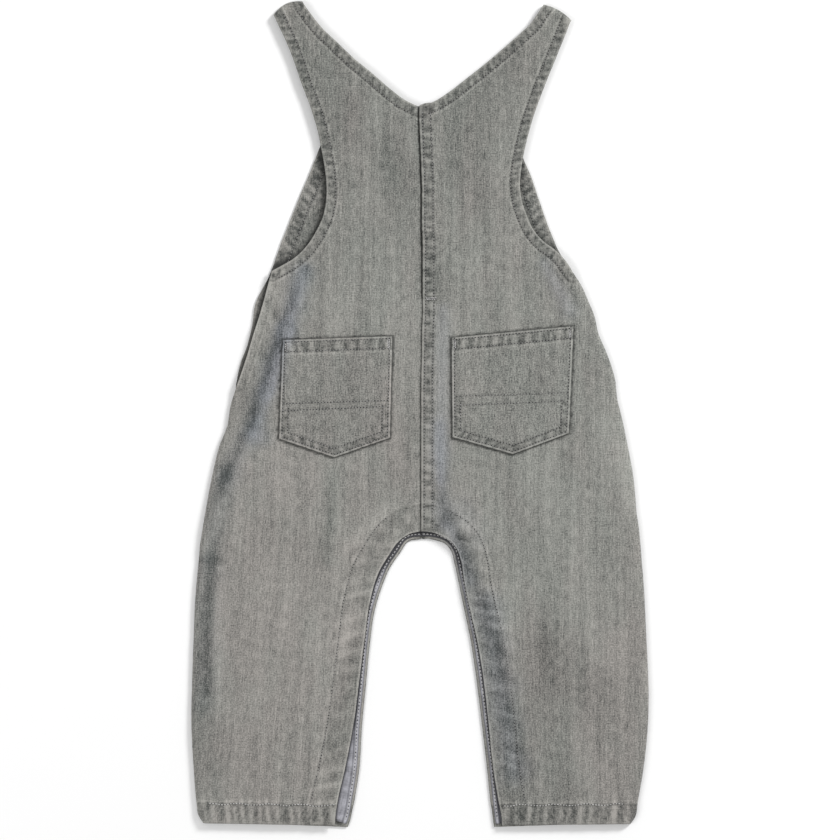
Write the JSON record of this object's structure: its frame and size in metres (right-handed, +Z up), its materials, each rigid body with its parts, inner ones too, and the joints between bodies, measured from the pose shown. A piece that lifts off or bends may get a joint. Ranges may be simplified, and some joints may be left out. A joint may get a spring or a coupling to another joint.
{
  "type": "baby overalls",
  "caption": "Sleeveless bib overalls for a baby, laid flat face down: halter-cut back with folded shoulder straps, back opening, patch pockets and straight legs.",
  "frame": {"origin": "middle of the garment's outline, on the surface it lies on", "axes": "+Y from the leg hems to the shoulder folds, +X to the wearer's right (the garment lies face down), +Z up, away from the surface"},
  "size_m": [0.293, 0.5288, 0.0067],
  "materials": {
    "chambray": "washed mid-grey chambray with fine lengthwise slubs, matt and slightly napped",
    "pocket_chambray": "the same chambray, a shade darker, with puckered seams",
    "facing_tape": "plain light bluish-grey cotton, matt"
  },
  "bodies": {
    "root": {"back_left": "chambray", "back_right": "chambray", "placket_underlap": "chambray", "back_pocket_left": "pocket_chambray", "back_pocket_right": "pocket_chambray", "front_left": "chambray", "front_right": "chambray", "inseam_facing_left": "facing_tape", "inseam_facing_right": "facing_tape"}
  },
  "joints": []
}
